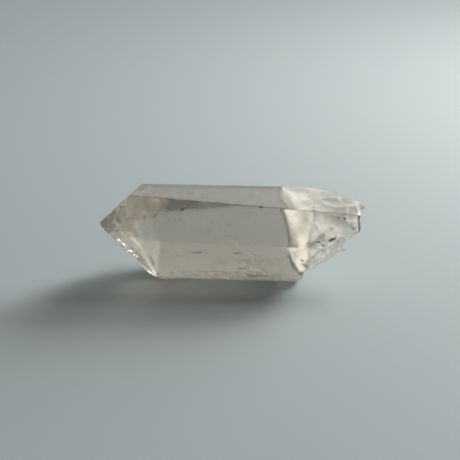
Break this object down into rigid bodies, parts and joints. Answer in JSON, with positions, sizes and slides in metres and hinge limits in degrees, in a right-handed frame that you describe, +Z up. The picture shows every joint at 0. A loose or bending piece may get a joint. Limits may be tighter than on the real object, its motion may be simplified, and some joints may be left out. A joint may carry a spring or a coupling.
{
  "type": "quartz crystal",
  "caption": "Clear, faintly smoky quartz crystal lying on a prism face, with a natural six-sided point at one end and an oblique scalloped break at the other.",
  "frame": {"origin": "under the middle of the crystal's box, on the flat prism face that it rests on", "axes": "+Z up, X along the crystal with the point towards -X and the break towards +X, front towards -Y"},
  "size_m": [0.089, 0.0314, 0.0314],
  "materials": {
    "quartz": "clear natural quartz, faintly smoky and hazy, with a rough break"
  },
  "bodies": {
    "root": {"quartz_crystal": "quartz"}
  },
  "joints": []
}
